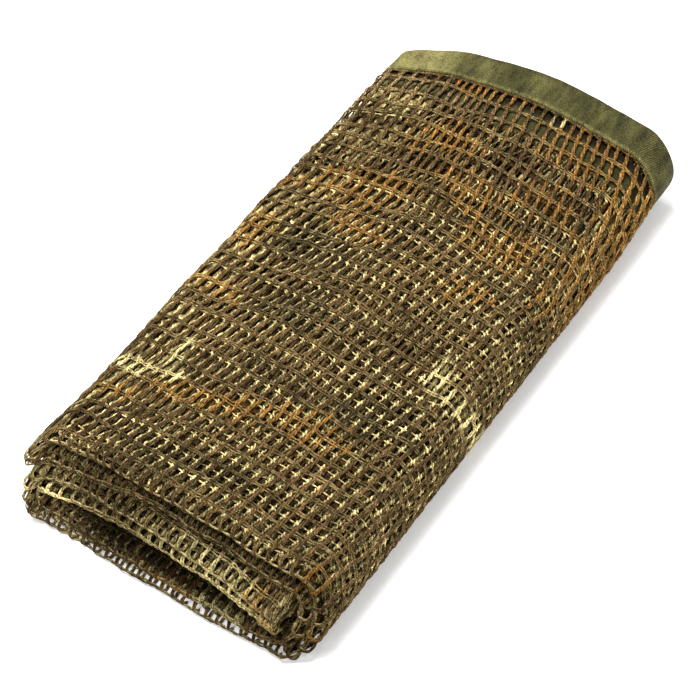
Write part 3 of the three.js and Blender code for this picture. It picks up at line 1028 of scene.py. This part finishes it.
def tape_colour(s, along, inwards, x, crease, dye):
    """The tape's colour, rubbed along its creases and its inner edge, and paler towards the left
    side. Its brightness carries the inner tape's painted shade.
    """
    worn = (0.3 * smoothstep(noise(104, 60, s, along), 0.1, 0.9)
            + 0.35 * smoothstep(inwards, 0.86, 0.97)
            + 0.25 * crease + 0.8 * smoothstep(-x, 22, 62))
    dye = dye * (1.02 + 0.2 * crease - 0.25 * smoothstep(x, 45, 68))
    return lerp(TAPE, TAPE_PALE, np.clip(worn, 0, 1)[..., None]) * dye[..., None]


def tape_sheet(name, n, offset, thickness, dye, steps):
    """A tape that runs across the whole cloth, folded over its end, as one closed mesh."""
    along, lift = tape_outline(offset, thickness)
    s, along = np.meshgrid(np.linspace(0, CLOTH_WIDTH, steps + 1), along, indexing="ij")
    station = across(s)
    x = station["x"]
    inwards = (offset - along) / TAPE_WIDTH
    pucker = noise(100, 3.4, s, inwards * 2) * smoothstep(inwards, 0.25, 0.9)
    wave = noise(101, 15, s, inwards * 5)
    crease = noise(105, 5, s + 5 * inwards, inwards * 2, 1.2) * smoothstep(inwards, 0.02, 0.3)
    crease = crease * (1 + 0.8 * noise(108, 30, s, 0 * s)) * (1 - 0.5 * inwards)
    edge = uneven(s, 0 * s, (102, 22, 0.35), (103, 5, 0.125))
    edge = edge + 0.25 * noise(107, 1.7, s, 0 * s) * smoothstep(inwards, 0.85, 1)
    y = station["far"] + along + edge
    if offset == 0:
        y = y - ROUNDED_END * smoothstep(-x, 56, 67) * (1 - 0.5 * inwards)
    lift = lift * (1 + 0.14 * pucker + 0.05 * wave) + 0.12 * wave + 0.4 * crease
    points = place(station, y, n + lift)
    colour = tape_colour(s, along, inwards, x, crease, dye)
    # painted shadow on the inner tape's edge in the seam gap
    if offset:
        colour = colour * lerp(SHADOW_IN_THE_GAP, 1, smoothstep(inwards, 0.1, 0.3)[..., None])
    tape = Yarns()
    tape.add(points[None], opaque(colour), np.stack([s, along, 0 * s], -1))
    return tape.mesh(name)


STITCH = 3.2  # length of a seam stitch with the gap after it
STITCH_LENGTH = 2.5
STITCH_RADIUS = 0.34
STITCH_SIDES = 5


def stitches():
    """The row of stitches along each face of the outer tape, near its inner edge."""
    yarns = Yarns()
    along = np.linspace(0, STITCH_LENGTH, 4)
    s = np.arange(1, CLOTH_WIDTH - STITCH, STITCH)[:, None] + along
    station = across(s)
    seam = station["far"] - TAPE_WIDTH + 0.75 + uneven(s, 0 * s, (110, 9, 0.15))
    wave = 0.12 * noise(101, 15, s, 9.5 + 0 * s)
    angles = 2 * np.pi * np.arange(STITCH_SIDES) / STITCH_SIDES
    radius = STITCH_RADIUS * np.sin(np.pi * lerp(0.1, 0.9, along / STITCH_LENGTH))[:, None]
    for face in (1, -1):
        lift = (STRIP - OUTER_TAPE_THICKNESS) / 2 + wave + face * (
            OUTER_TAPE_THICKNESS / 2 - 0.02)
        middle = place(station, seam, lift)
        up = unit(place(station, seam, lift + face * UP_STEP) - middle)
        ring = ring_of(middle, sideways(middle, up), up, angles, radius, radius)
        yarns.add(ring, opaque(0 * ring + STITCH_THREAD), ring)
    return yarns.mesh("seam_stitches")


# ------ the piece list

NETTING, TWILL = yarn_material(), tape_material()

net = {}
for piece_name, yarns in net_pieces().items():
    net[piece_name] = yarns.mesh(piece_name)
    net[piece_name].data.materials.append(NETTING)

for piece in net.values():
    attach(piece, "root")
    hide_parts("net_cloth")

tapes = [tape_sheet(*tape) for tape in TAPES]
seam = stitches()
seam.data.materials.append(TWILL)
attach(seam, "root")
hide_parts("end_binding_a")

for piece, cad_node in zip(tapes, ("end_binding_a", "end_binding_b")):
    piece.data.materials.append(TWILL)
    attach(piece, "root")
    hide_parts(cad_node)

main = net.pop("net_inner")

# ------ floor, light and camera

VIEW_AZIMUTH = 51.015  # of the camera round the packet, in degrees
VIEW_HEIGHT = 46.288  # over the floor
VIEW_ROLL = -19.223
VIEW_DISTANCE = 665.284
VIEW_TARGET = (5.548, -16.392, 14.4)
LENS = 88.709
WHITE = (1, 1, 1, 1)


def make_floor():
    bpy.ops.mesh.primitive_plane_add(size=6)
    floor = bpy.context.object
    floor.name = "floor"
    surface = Surface("floor", {"Base Color": (0.93, 0.93, 0.93, 1), "Roughness": 0.9,
                                "Emission Color": WHITE, "Emission Strength": 0.3})
    floor.data.materials.append(surface.material)


def make_light(name, place_at, size, power):
    data = bpy.data.lights.new(name, "AREA")
    data.size = size
    data.energy = power
    lamp = bpy.data.objects.new(name, data)
    bpy.context.scene.collection.objects.link(lamp)
    lamp.location = place_at
    lamp.rotation_euler = (-Vector(place_at)).to_track_quat("-Z", "Y").to_euler()


def make_camera():
    azimuth, height, roll = np.radians([VIEW_AZIMUTH, VIEW_HEIGHT, VIEW_ROLL])
    back = np.array([np.sin(azimuth) * np.cos(height), -np.cos(azimuth) * np.cos(height),
                     np.sin(height)])
    right = np.array([np.cos(azimuth), np.sin(azimuth), 0])
    up = np.cross(back, right)
    side = np.cos(roll) * right + np.sin(roll) * up
    top = -np.sin(roll) * right + np.cos(roll) * up
    eye = (np.array(VIEW_TARGET) + back * VIEW_DISTANCE) * MM
    data = bpy.data.cameras.new("camera")
    data.lens = LENS
    data.sensor_width = 36
    data.clip_start = 0.01
    camera = bpy.data.objects.new("camera", data)
    bpy.context.scene.collection.objects.link(camera)
    camera.matrix_world = Matrix([[*row, place_at] for row, place_at in zip(
        np.stack([side, top, back], 1), eye)] + [[0, 0, 0, 1]])
    bpy.context.scene.camera = camera


make_floor()
make_light("key", (-0.16, 0.15, 1.3), 0.7, 24)
make_light("fill", (0.9, -0.7, 0.9), 1.2, 3)
world = bpy.data.worlds.new("studio")
world.use_nodes = True
world.node_tree.nodes["Background"].inputs["Color"].default_value = WHITE
world.node_tree.nodes["Background"].inputs["Strength"].default_value = 0.5
bpy.context.scene.world = world
bpy.context.scene.view_settings.view_transform = "Standard"
make_camera()
